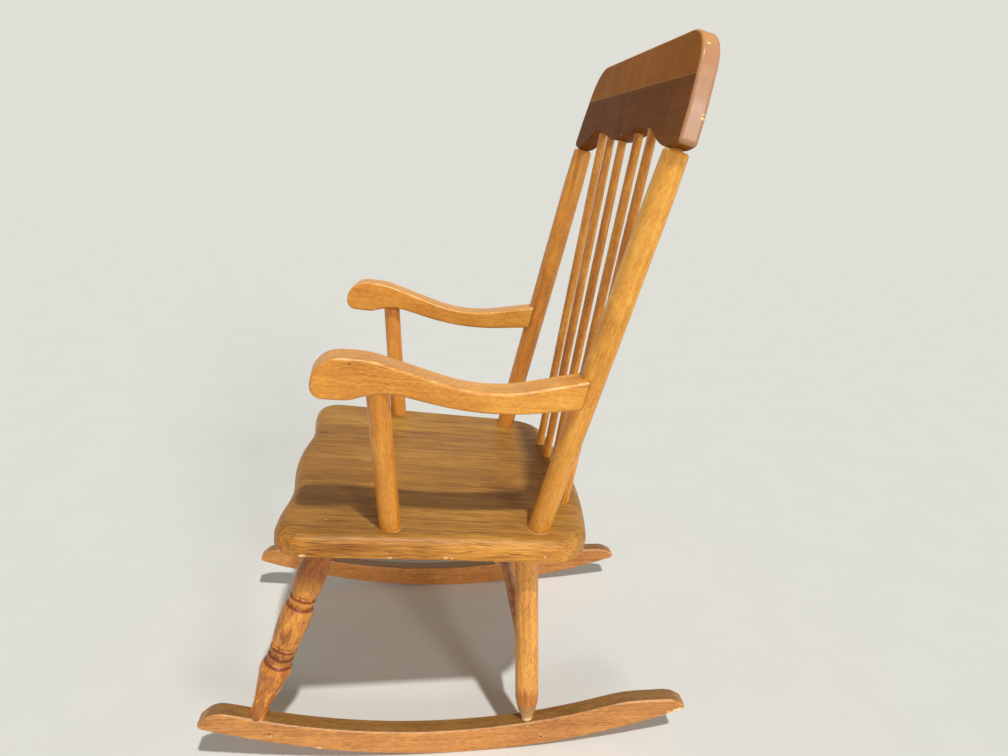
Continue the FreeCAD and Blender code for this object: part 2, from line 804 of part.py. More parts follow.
for side_name, side in SIDES:
    arm_blank = new_body(f"arm_{side_name}_blank")
    lines = Outline(arm_blank, "YZ_Plane")
    rear_top_y = size("arm_rear") + size("arm_rear_lean")
    rear_top_z = size("arm_rear_low") + size("arm_rear_rise")
    front = -size("arm_front")
    lines.start(size("arm_rear"), size("arm_rear_low"))
    lines.line(rear_top_y, rear_top_z)
    lines.corner(size("arm_hollow_back"), size("arm_hollow_height"), "arm_hollow_round")
    lines.corner(-size("arm_crown"), size("arm_knob_top"), "arm_crown_round")
    lines.corner(front, size("arm_knob_top"), "arm_knob_round")
    lines.corner(front, size("arm_knob_bottom"), "arm_chin_round")
    lines.corner(-size("arm_lip"), size("arm_knob_bottom"), "arm_lip_round")
    lines.corner(-size("arm_throat"), size("arm_throat_height"), "arm_throat_round")
    lines.corner(size("arm_hollow_back"), size("arm_belly_height"), "arm_belly_round")
    arm_pad = pad(arm_blank, lines.close(), size("arm_width"))
    arm_rounded = round_corners(arm_blank, arm_pad, lines)
    rear_limit = num("arm_rear") - num("glue_gap")
    faces = flat_in("x", 0, num("arm_width"))

    def long_edge(edge, on_face=faces, limit=rear_limit):
        return on_face(edge) and min(vertex.Point.y for vertex in edge.Vertexes) < limit

    soften(arm_blank, arm_rounded, size("arm_edge_round"), long_edge)
    arm_frame = arm_place(side)
    place(arm_blank, arm_frame.multiply(moved(-num("arm_width") * HALF, 0, 0)))
    support = support_axis(side)
    depth = size("support_depth_in_arm") + room
    label = f"arm_{side_name}_support_hole"
    hole = drill(label, support.top, support.way, size("support_tenon_diameter"), depth, overrun)
    post = post_axis(side)
    label = f"arm_{side_name}_cope"
    cope = drill(label, post.foot, post.way, cope_diameter, post.length, ZERO)
    dowel_start = arm_frame.multVec(vec(0, num("arm_dowel_start"), num("arm_dowel_height")))
    dowel_way = arm_frame.Rotation.multVec(vec(0, 1, 0))
    label = f"arm_{side_name}_dowel_hole"
    dowel_depth = size("arm_dowel_length") + room
    dowel_hole = drill(label, dowel_start, dowel_way, size("arm_dowel_diameter"), dowel_depth, room)
    label = f"arm_{side_name}_dowel"
    dowel = rod(label, dowel_start, dowel_way, size("arm_dowel_diameter"), size("arm_dowel_length"))
    cut_arm = cut(f"arm_{side_name}", arm_blank, [hole, cope, dowel_hole])
    arms[side_name] = (node(cut_arm, f"arm_{side_name}"), dowel_hole, dowel)

dowels = doc.addObject("Part::Compound", "arm_dowels")
dowels.Links = [arms[side_name][2] for side_name, side in SIDES]
node(dowels, "arm_dowels")

# Turned pieces: half outline in radius and height, turned about the centre line

lap = size("shoulder_lap")


def turned(name, line, draw):
    """Turned body with its outline drawn by a function, standing on its centre line."""
    body = new_body(name)
    outline = Outline(body, "XZ_Plane")
    draw(outline, line.length)
    turn(body, outline.close())
    return place(body, line.frame())


def half_of(name):
    return size(name) * HALF


def tenon_below(outline, diameter, depth):
    """Start an outline with a round tenon under the lower shoulder."""
    outline.start(ZERO, -depth)
    outline.line(diameter * HALF, -depth)
    outline.line(diameter * HALF, -lap)


def tenon_above(outline, diameter, length, depth):
    """End an outline with a round tenon over the upper shoulder."""
    outline.line(diameter * HALF, length + lap)
    outline.line(diameter * HALF, length + depth)
    outline.line(ZERO, length + depth)


def draw_post(outline, length):
    tenon_below(outline, size("post_foot_tenon_diameter"), size("post_depth_in_seat"))
    outline.line(half_of("post_foot_diameter"), -lap)
    outline.line(half_of("post_waist_diameter"), size("post_waist_height"))
    outline.line(half_of("post_waist_diameter"), size("post_neck_height"))
    shoulder = length - size("post_top_gap")
    outline.line(half_of("post_top_diameter"), shoulder - size("post_chamfer"))
    outline.line(half_of("post_shoulder_diameter"), shoulder)
    outline.line(half_of("post_tenon_diameter"), shoulder)
    depth = size("post_depth_in_crest")
    outline.line(half_of("post_tenon_diameter"), length + depth)
    outline.line(ZERO, length + depth)


def draw_support(outline, length):
    tenon_below(outline, size("support_tenon_diameter"), size("support_depth_in_seat"))
    outline.line(half_of("support_diameter"), -lap)
    outline.line(half_of("support_diameter"), length + lap)
    tenon_above(outline, size("support_tenon_diameter"), length, size("support_depth_in_arm"))


def draw_rear_leg(outline, length):
    outline.start(ZERO, -size("foot_depth_in_rocker"))
    outline.line(half_of("foot_tenon_diameter"), -size("foot_depth_in_rocker"))
    outline.line(half_of("foot_tenon_diameter"), size("rear_leg_point_start"))
    outline.arc(half_of("rear_leg_point_diameter"), size("rear_leg_point_middle"),
                half_of("rear_leg_diameter"), size("rear_leg_point_height"))
    outline.line(half_of("rear_leg_diameter"), length * HALF)
    outline.line(half_of("rear_leg_top_diameter"), length + lap)
    tenon_above(outline, size("leg_tenon_diameter"), length, size("leg_depth_in_seat"))


def draw_rings(outline, first, pitch, count):
    """Grooves at equal steps with a rounded ring between each two."""
    edge = (size("front_leg_ring_diameter") + size("front_leg_groove_diameter")) * (HALF * HALF)
    bottom = half_of("front_leg_groove_diameter")
    half = size("front_leg_groove_half")
    for index in range(count):
        height = first + pitch * index
        if index > 0:
            outline.arc(half_of("front_leg_ring_diameter"), height - pitch * HALF, edge, height - half)
        outline.line(bottom, height)
        outline.line(edge, height + half)


def draw_front_leg(outline, length):
    tenon_below(outline, size("foot_tenon_diameter"), size("foot_depth_in_rocker"))
    groove_half = size("front_leg_groove_half")
    ring_edge = half_of("front_leg_ring_diameter")
    low = size("front_leg_low_groove")
    high = size("front_leg_high_groove")
    body_start = low + size("front_leg_ring_pitch") * (LOW_GROOVE_COUNT - 1) + groove_half * TWICE
    outline.line(half_of("front_leg_foot_diameter"), -lap)
    outline.line(half_of("front_leg_foot_diameter"), size("front_leg_foot_height"))
    outline.line(half_of("front_leg_swell_diameter"), size("front_leg_swell_height"))
    outline.arc(half_of("front_leg_vase_diameter"), size("front_leg_vase_height"),
                ring_edge, low - groove_half)
    draw_rings(outline, low, size("front_leg_ring_pitch"), LOW_GROOVE_COUNT)
    outline.line(half_of("front_leg_body_start"), body_start)
    outline.bow(size("front_leg_body_bow"), ZERO,
                half_of("front_leg_body_diameter"), size("front_leg_body_height"))
    outline.bow(size("front_leg_waist_bow"), ZERO, ring_edge, high - groove_half)
    draw_rings(outline, high, size("front_leg_high_pitch"), HIGH_GROOVE_COUNT)
    barrel_start = high + size("front_leg_high_pitch") * (HIGH_GROOVE_COUNT - 1) + groove_half * TWICE
    outline.line(half_of("front_leg_body_start"), barrel_start)
    outline.arc(half_of("front_leg_barrel_diameter"), size("front_leg_barrel_height"),
                half_of("front_leg_neck_diameter"), size("front_leg_neck_height"))
    outline.line(half_of("front_leg_top_diameter"), length + lap)
    tenon_above(outline, size("leg_tenon_diameter"), length, size("leg_depth_in_seat"))


def draw_spindle(outline, length):
    low = -size("spindle_depth_in_seat")
    high = length + size("spindle_depth_in_crest")
    end = half_of("spindle_end_diameter")
    outline.start(ZERO, low)
    outline.line(end, low)
    outline.line(end, ZERO)
    outline.arc(half_of("spindle_diameter"), length * HALF, end, length)
    outline.line(end, high)
    outline.line(ZERO, high)


stretcher_lines = {}
for name, axis_of in (("front", front_leg_axis), ("rear", rear_leg_axis)):
    left_end = axis_of(1).at(STRETCHER_HEIGHT_SHARE)
    right_end = axis_of(-1).at(STRETCHER_HEIGHT_SHARE)
    way = (left_end - right_end).normalize()
    back_off = way * num("stretcher_short_of_axis")
    stretcher_lines[name] = Axis(right_end + back_off, left_end - back_off)

stretcher_tools = {}
for name, line in stretcher_lines.items():
    label = f"{name}_stretcher_hole"
    wide = size("stretcher_diameter")
    stretcher_tools[name] = drill(label, line.foot, line.way, wide, line.length + room, room)

for side_name, side in SIDES:
    post_blank = turned(f"back_post_{side_name}_blank", post_axis(side), draw_post)
    dowel_hole = arms[side_name][1]
    fitted = cut(f"back_post_{side_name}", post_blank, [seat_drilled, dowel_hole])
    node(fitted, f"back_post_{side_name}")
    support_blank = turned(f"arm_support_{side_name}_blank", support_axis(side), draw_support)
    fitted = cut(f"arm_support_{side_name}", support_blank, [seat_drilled, arms[side_name][0]])
    node(fitted, f"arm_support_{side_name}")
    for name, axis_of, draw in (
        ("front", front_leg_axis, draw_front_leg),
        ("rear", rear_leg_axis, draw_rear_leg),
    ):
        leg_blank = turned(f"{name}_leg_{side_name}_blank", axis_of(side), draw)
        tools = [seat_drilled, rockers[side_name], stretcher_tools[name]]
        node(cut(f"{name}_leg_{side_name}", leg_blank, tools), f"{name}_leg_{side_name}")

for number, row in enumerate(SPINDLES, start=1):
    name = f"spindle_{number}"
    node(turned(name, spindle_axis(row), draw_spindle), name)


def draw_stretcher(outline, length):
    radius = half_of("stretcher_diameter")
    outline.start(ZERO, ZERO)
    outline.line(radius, ZERO)
    outline.line(radius, length)
    outline.line(ZERO, length)


for name, line in stretcher_lines.items():
    label = f"{name}_stretcher"
    node(turned(label, line, draw_stretcher), label)

doc.recompute()

# Rest: tip the chair back until its centre of mass is over the lowest point of the rockers

weight = sum(item.Shape.Volume for item in nodes)
centre_y = 0
centre_z = 0
for item in nodes:
    for solid in item.Shape.Solids:
        centre_y += solid.Volume * solid.CenterOfMass.y / weight
        centre_z += solid.Volume * solid.CenterOfMass.z / weight
arc_y = -num("rocker_arc_forward")
arc_height = num("rocker_arc") - num("rocker_arc_low")
tilt = math.atan2(centre_y - arc_y, arc_height - centre_z)
tilt_degrees = math.degrees(tilt)
arc_centre_z = arc_height * math.cos(tilt) - arc_y * math.sin(tilt)
lift = num("rocker_arc") - num("rocker_worn_flat") - arc_centre_z
tip_back = FreeCAD.Rotation(vec(1, 0, 0), -tilt_degrees)
for item, placement in laid_out:
    item.Placement = FreeCAD.Placement(vec(0, 0, lift), tip_back).multiply(placement)
doc.recompute()

boxes = [item.Shape.optimalBoundingBox(False, False) for item in nodes]
front_most = min(box.YMin for box in boxes)
back_most = max(box.YMax for box in boxes)
shift = -(front_most + back_most) * HALF
for item, placement in laid_out:
    item.Placement = FreeCAD.Placement(vec(0, shift, lift), tip_back).multiply(placement)
doc.recompute()

# Checks and files

for item in doc.Objects:
    bad = [word for word in item.State if word in ("Invalid", "Error")]
    if bad:
        raise RuntimeError(f"{item.Label} is {bad}")
boxes = {item.Label: item.Shape.optimalBoundingBox(False, False) for item in nodes}
for item in nodes:
    if item.Shape.isNull() or not item.Shape.isValid():
        raise RuntimeError(f"{item.Label} has no good shape")
    print(item.Label, len(item.Shape.Solids), round(item.Shape.Volume), boxes[item.Label])

low = min(box.ZMin for box in boxes.values())
print("tilt", tilt_degrees, "lift", lift, "shift", shift, "lowest", low)
print("centre of mass in the chair's frame", centre_y, centre_z)

os.makedirs("parts", exist_ok=True)
for item in nodes:
    item.Shape.exportStep(f"parts/{item.Label}.step")
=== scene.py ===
"""A child's rocking chair in stained, satin-varnished wood, shown on a pale studio floor.

The chair's solid pieces come from the frame and keep their shape. This script gives each piece its own wood,
with grain along the piece, rings, pores, stain and wear, painted highlights and painted shade on some faces,
adds the dried glue round the joints, and sets up the floor, the lights and the camera. All lengths are in
metres.
"""
import logging
import math
from dataclasses import dataclass, field, replace
from enum import Enum

import bpy
import numpy as np
from mathutils import Euler, Matrix, Vector


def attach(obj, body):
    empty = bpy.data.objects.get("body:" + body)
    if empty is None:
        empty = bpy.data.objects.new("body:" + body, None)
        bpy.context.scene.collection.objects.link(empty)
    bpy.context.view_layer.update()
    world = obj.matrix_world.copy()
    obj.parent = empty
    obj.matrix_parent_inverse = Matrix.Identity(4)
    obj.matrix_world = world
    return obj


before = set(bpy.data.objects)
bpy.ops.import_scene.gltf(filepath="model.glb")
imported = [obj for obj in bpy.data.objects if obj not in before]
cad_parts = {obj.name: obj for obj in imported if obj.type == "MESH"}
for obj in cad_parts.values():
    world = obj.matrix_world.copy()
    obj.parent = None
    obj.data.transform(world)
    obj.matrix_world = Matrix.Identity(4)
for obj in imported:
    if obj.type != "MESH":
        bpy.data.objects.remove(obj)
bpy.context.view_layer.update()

log = logging.getLogger("rocking_chair")

Colour = tuple[float, float, float]
Place = tuple[float, float, float]

MILLIMETRE = 0.001
UP = (0.0, 0.0, 1.0)
BACK = (0.0, 1.0, 0.0)
FRONT = (0.0, -1.0, 0.0)
LEFT = (1.0, 0.0, 0.0)
RIGHT = (-1.0, 0.0, 0.0)
SEAT_POINT = Vector((0.0, -0.014212, 0.278717))
SEAT_NORMAL = Vector((0.0, 0.094118, 0.995561))
SEAT_GRAIN = Vector((0.0, 0.995561, -0.094118))


def seen(red: int, green: int, blue: int) -> Colour:
    """Linear colour of a colour as a screen shows it.

    Args:
        red: red from 0 to 255.
        green: green from 0 to 255.
        blue: blue from 0 to 255.

    Returns:
        The linear red, green and blue.
    """
    def linear(level: int) -> float:
        """Linear level of one channel."""
        share = level / 255
        return share / 12.92 if share <= 0.04045 else ((share + 0.055) / 1.055) ** 2.4

    return linear(red), linear(green), linear(blue)


# Colours of marks, wear, painted highlights and glue.
# bare wood, also used as the painted highlight along upper edges
BARE_AND_HIGHLIGHT = seen(244, 206, 136)
CHIP = seen(230, 192, 138)
FRESH_CHIP = seen(244, 222, 168)
DARK_MARK = seen(92, 48, 18)
NAIL_RIM = seen(226, 184, 138)
# painted sheen on the crest's ends
PAINTED_CREST_END_SHEEN = seen(196, 146, 112)
# colour of two paler spots on the crest's lower board
CREST_PALE_SPOT = seen(172, 128, 88)
GLUE_DARK = seen(168, 118, 70)
GLUE_LIGHT = seen(222, 190, 146)
GROOVE = seen(166, 124, 92)

# How the patterns lie in every wood. Scales are repeats in a metre along, across and out.
SEED_STEPS = (3.1, 0.7, 0.4)
DRIFT_SCALES = (3.4, 13.0, 13.0)
DRIFT_OUT = 0.6
CLOUD_SCALES = (4.0, 9.0, 9.0)
PORE_EDGE = (0.08, 0.20)
RING_RAGGED = 0.5
LATE_WOOD_RISE = (0.15, 0.85)
LATE_WOOD_FALL = (1.0, 0.93)
ROUGHNESS_WEIGHTS = {"blotch": 0.10, "fibre": 0.14, "pores": 0.10}
HEIGHT_WEIGHTS = {"fibre": 0.8, "streak": 0.5, "pores": -0.5, "late": -0.15}
WORN_ROUGHNESS = 0.10
BUMP_HEIGHT = 0.12 * MILLIMETRE
COAT_ROUGHNESS = 0.28
COATED_END = (0.5, 0.9)

# Where wear, painted highlights and marks begin and end.
WEAR_HIGHLIGHT_SCALES = (45.0, 220.0, 220.0)
WEAR_HIGHLIGHT_BREAKS = (-0.12, 0.20)
WEAR_HIGHLIGHT_CORNER = (0.45, 0.95)
# only edges that face upward get it: the painted highlight sits where the lamps light the edge
WEAR_HIGHLIGHT_UPWARD = (0.15, 0.45)
TINT_RAGGED = 0.5
ZONE_RAGGED = 2.0
SPOT_SCALES = (700.0, 420.0, 700.0)
SPOT_RAGGED = 4.0
SPOT_CORE = 0.6
SEAM_CORE = 0.4
SEAM_FACE = (0.4, 0.8)


class Shade:
    """A number, place or colour in a node tree; numbers take the usual arithmetic."""

    def __init__(self, nodes: "Nodes", socket: bpy.types.NodeSocket) -> None:
        """Wrap an output socket."""
        self.nodes = nodes
        self.socket = socket

    def maths(self, operation: str, *values: "Shade | float") -> "Shade":
        """One Math node with the given inputs in order."""
        return self.nodes.add("ShaderNodeMath", {"operation": operation}, dict(enumerate(values)))

    def __add__(self, other: "Shade | float") -> "Shade":
        """Sum."""
        return self.maths("ADD", self, other)

    def __radd__(self, other: float) -> "Shade":
        """Sum with a number first."""
        return self.maths("ADD", other, self)

    def __sub__(self, other: "Shade | float") -> "Shade":
        """Difference."""
        return self.maths("SUBTRACT", self, other)

    def __rsub__(self, other: float) -> "Shade":
        """Difference with a number first."""
        return self.maths("SUBTRACT", other, self)

    def __mul__(self, other: "Shade | float") -> "Shade":
        """Product."""
        return self.maths("MULTIPLY", self, other)

    def __rmul__(self, other: float) -> "Shade":
        """Product with a number first."""
        return self.maths("MULTIPLY", other, self)

    def __truediv__(self, other: "Shade | float") -> "Shade":
        """Quotient."""
        return self.maths("DIVIDE", self, other)

    def __pow__(self, other: float) -> "Shade":
        """Power."""
        return self.maths("POWER", self, other)

    def __abs__(self) -> "Shade":
        """Size without sign."""
        return self.maths("ABSOLUTE", self)

    def fraction(self) -> "Shade":
        """What is left over the whole number."""
        return self.maths("FRACT", self)

    def step(self, low: float, high: float) -> "Shade":
        """Smooth step from 0 at low to 1 at high; high under low gives a falling step."""
        return self.nodes.add("ShaderNodeMapRange", {"interpolation_type": "SMOOTHSTEP"},
                              {"Value": self, "From Min": low, "From Max": high}, "Result")

    def band(self, start: float, end: float, soft: float) -> "Shade":
        """1 between start and end, falling to 0 over a soft edge."""
        return self.step(start - soft, start) * self.step(end + soft, end)

    def moved(self, operation: str, value: "Shade | Place") -> "Shade":
        """One Vector Math node on this place."""
        return self.nodes.add("ShaderNodeVectorMath", {"operation": operation}, {0: self, 1: value})

    def dot(self, way: Place) -> "Shade":
        """How far this direction points along another."""
        return self.nodes.add("ShaderNodeVectorMath", {"operation": "DOT_PRODUCT"}, {0: self, 1: way},
                              "Value")

    def length(self) -> "Shade":
        """Distance of this place from nought."""
        return self.nodes.add("ShaderNodeVectorMath", {"operation": "LENGTH"}, {0: self}, "Value")

    def parts(self) -> tuple["Shade", "Shade", "Shade"]:
        """The three numbers of a place."""
        first = self.nodes.add("ShaderNodeSeparateXYZ", {}, {0: self})
        return tuple(Shade(self.nodes, output) for output in first.socket.node.outputs)

    def noise(self, scales: Place, detail: float = 2.0, roughness: float = 0.5,
              bend: float = 0.0) -> "Shade":
        """Soft random value around 0, seldom past 0.4 either way.

        Args:
            scales: how often the pattern repeats in a metre along, across and out.
            detail: number of finer layers.
            roughness: strength of each finer layer.
            bend: how much the pattern is bent by itself.

        Returns:
            The value.
        """
        sockets = {"Vector": self.moved("MULTIPLY", scales), "Scale": 1.0, "Detail": detail,
                   "Roughness": roughness, "Distortion": bend}
        return self.nodes.add("ShaderNodeTexNoise", {}, sockets) - 0.5

    def mix(self, first: "Shade | Colour", second: "Shade | Colour", blend: str = "MIX") -> "Shade":
        """Blend two colours, this number giving the share of the second.

        Args:
            first: colour where the number is 0.
            second: colour where the number is 1.
            blend: how the second colour goes over the first.

        Returns:
            The colour.
        """
        first, second = (item if isinstance(item, Shade) else (*item, 1.0) for item in (first, second))
        return self.nodes.add("ShaderNodeMix", {"data_type": "RGBA", "blend_type": blend},
                              {0: self, 6: first, 7: second}, 2)


class Nodes:
    """The nodes of a material or of the world."""

    def __init__(self, tree: bpy.types.NodeTree, shader: str) -> None:
        """Take a tree of nodes and the name of its shader."""
        self.tree = tree
        self.shader = tree.nodes[shader]

    def add(self, kind: str, settings: dict[str, object],
            sockets: "dict[int | str, Shade | float | Place]", output: int | str = 0) -> Shade:
        """Add one node of any type.

        Args:
            kind: the node's type.
            settings: its settings, which are set first.
            sockets: values or links of its inputs.
            output: the output to give back.

        Returns:
            The output.
        """
        node = self.tree.nodes.new(kind)
        for name, value in settings.items():
            setattr(node, name, value)
        self.feed(node, sockets)
        return Shade(self, node.outputs[output])

    def feed(self, node: bpy.types.Node, sockets: "dict[int | str, Shade | float | Place]") -> None:
        """Set a node's inputs.

        Args:
            node: the node.
            sockets: values or links of its inputs.
        """
        for name, value in sockets.items():
            if isinstance(value, Shade):
                self.tree.links.new(value.socket, node.inputs[name])
            else:
                node.inputs[name].default_value = value


class Surface(Nodes):
    """A material and the nodes in it."""

    def __init__(self, name: str) -> None:
        """Start a material with one shader.

        Args:
            name: name of the material.
        """
        self.material = bpy.data.materials.new(name)
        self.material.use_nodes = True
        super().__init__(self.material.node_tree, "Principled BSDF")

    def place(self) -> Shade:
        """Place on the chair or the floor."""
        return self.add("ShaderNodeTexCoord", {}, {}, "Object")

    def bump(self, strength: float, distance: float, height: Shade) -> Shade:
        """Direction of a bumpy surface, whose bumps are distance metres high where height is 1."""
        return self.add("ShaderNodeBump", {}, {"Strength": strength, "Distance": distance, "Height": height},
                        "Normal")

    def finish(self, values: "dict[str, Shade | float | Colour]") -> bpy.types.Material:
        """Feed the shader and give back the material.

        Args:
            values: values or links of the shader's inputs.

        Returns:
            The material.
        """
        self.feed(self.shader, values)
        return self.material


@dataclass(frozen=True)
class Grain:
    """Which way the wood of one piece lies."""

    centre: Vector
    along: Vector
    face: Vector
    size: Vector

    @classmethod
    def of(cls, node: str, face: Place, along: Vector | None = None) -> "Grain":
        """Read the grain of a solid piece from its mesh.

        Args:
            node: name of the piece.
            face: roughly the direction that its broad face looks in.
            along: the grain, if it isn't the longest way through the piece.

        Returns:
            The grain, centred in the middle of the piece.
        """
        mesh = bpy.data.objects[node].data
        flat = np.empty(len(mesh.vertices) * 3)
        mesh.vertices.foreach_get("co", flat)
        places = flat.reshape(-1, 3)
        mean = places.mean(axis=0)
        if along is None:
            spread, ways = np.linalg.eigh(np.cov((places - mean).T))
            along = Vector(ways[:, int(np.argmax(spread))])
            if sum(along) < 0:
                along.negate()
        rough_grain = cls(Vector(mean), along, Vector(face), Vector())
        centre, size = Vector(mean), Vector()
        for index, way in enumerate(rough_grain.axes()):
            reach = (places - mean) @ np.array(way)
            centre += way * float((reach.max() + reach.min()) / 2)
            size[index] = float(reach.max() - reach.min())
        return cls(centre, along, Vector(face), size)

    def axes(self) -> tuple[Vector, Vector, Vector]:
        """Directions along the grain, across it and out of the broad face."""
        across = self.face.cross(self.along).normalized()
        return self.along, across, self.along.cross(across).normalized()

    def placed(self, surface: Surface, world: Shade) -> Shade:
        """The place in the wood: along, across and out, from the middle of the piece."""
        turn = Matrix(self.axes()).transposed().to_euler()
        return surface.add("ShaderNodeMapping", {"vector_type": "TEXTURE"},
                           {"Vector": world, "Location": self.centre, "Rotation": turn})


class Sawing(Enum):
    """Where the heart of the tree lies from the middle of a piece, in metres across and out."""

    FLAT = (0.012, -0.085)
    RIFT = (0.060, -0.060)
    DOWEL = (0.035, -0.025)


@dataclass(frozen=True)
class Figure:
    """Places and patterns in one piece of wood, for its colours to be worked out from."""

    grain: Grain
    world: Shade
    normal: Shade
    inside: Shade
    shifted: Shade
    streak: Shade
    fibre: Shade
    pores: Shade
    blotch: Shade
    cloud: Shade
    late: Shade

    def total(self, start: float, weights: dict[str, float]) -> Shade:
        """A number with patterns added to it.

        Args:
            start: the number.
            weights: what each pattern is multiplied by.

        Returns:
            The sum.
        """
        for name, weight in weights.items():
            start = start + getattr(self, name) * weight
        return start


@dataclass(frozen=True)
class Spot:
    """A small place where the surface has another colour, such as a chip."""

    place: Place
    radius: float
    colour: Colour
    ragged: float = 0.8
    squeeze: Place = (1.0, 0.6, 1.3)
    share: float = 1.0

    def over(self, colour: Shade, figure: Figure) -> Shade:
        """Lay the spot over a colour.

        Args:
            colour: the colour under it.
            figure: places and patterns in the wood.

        Returns:
            The colour with it.
        """
        edge = figure.world.noise(SPOT_SCALES, detail=2.0, roughness=0.7)
        offset = figure.world.moved("SUBTRACT", self.place).moved("MULTIPLY", self.squeeze)
        reach = offset.length() + edge * (self.radius * self.ragged * SPOT_RAGGED)
        mask = reach.step(self.radius, self.radius * SPOT_CORE) * self.share
        return mask.mix(colour, self.colour)


@dataclass(frozen=True)
class Tint:
    """Colour laid over the faces that look in one direction; on the seat edges, the arm tops and the crest
    it paints highlights.
    """

    way: Place
    low: float
    high: float
    colour: Colour
    blend: str = "MULTIPLY"
    share: float = 1.0

    def over(self, colour: Shade, figure: Figure) -> Shade:
        """Lay the tint over a colour.

        Args:
            colour: the colour under it.
            figure: places and patterns in the wood.

        Returns:
            The colour with it.
        """
        facing = figure.normal.dot(self.way).step(self.low, self.high)
        mask = facing * (self.share + figure.fibre * TINT_RAGGED)
        return mask.mix(colour, self.colour, self.blend)


@dataclass(frozen=True)
class Zone:
    """Colour laid over a stretch of a piece, measured from its low end on one of the grain's axes."""

    start: float
    end: float
    colour: Colour
    soft: float = 0.002
    blend: str = "MULTIPLY"
    share: float = 1.0
    axis: int = 0

    def over(self, colour: Shade, figure: Figure) -> Shade:
        """Lay the stretch over a colour.

        Args:
            colour: the colour under it.
            figure: places and patterns in the wood.

        Returns:
            The colour with it.
        """
        from_low_end = figure.inside.parts()[self.axis] + figure.grain.size[self.axis] / 2
        edge = from_low_end + figure.blotch * (self.soft * ZONE_RAGGED)
        mask = edge.band(self.start, self.end, self.soft) * self.share
        return mask.mix(colour, self.colour, self.blend)


@dataclass(frozen=True)
class Seam:
    """Dark line along the straight end of a piece that laps another."""

    place: Place
    way: Place
    width: float = 0.0013
    share: float = 0.75

    def over(self, colour: Shade, figure: Figure) -> Shade:
        """Lay the line over a colour, but not over the end itself.

        Args:
            colour: the colour under it.
            figure: places and patterns in the wood.

        Returns:
            The colour with it.
        """
        past_end = figure.world.moved("SUBTRACT", self.place).dot(self.way)
        beside_end = 1 - figure.normal.dot(self.way).step(*SEAM_FACE)
        mask = past_end.step(-self.width, -self.width * SEAM_CORE) * beside_end * self.share
        return mask.mix(colour, DARK_MARK)


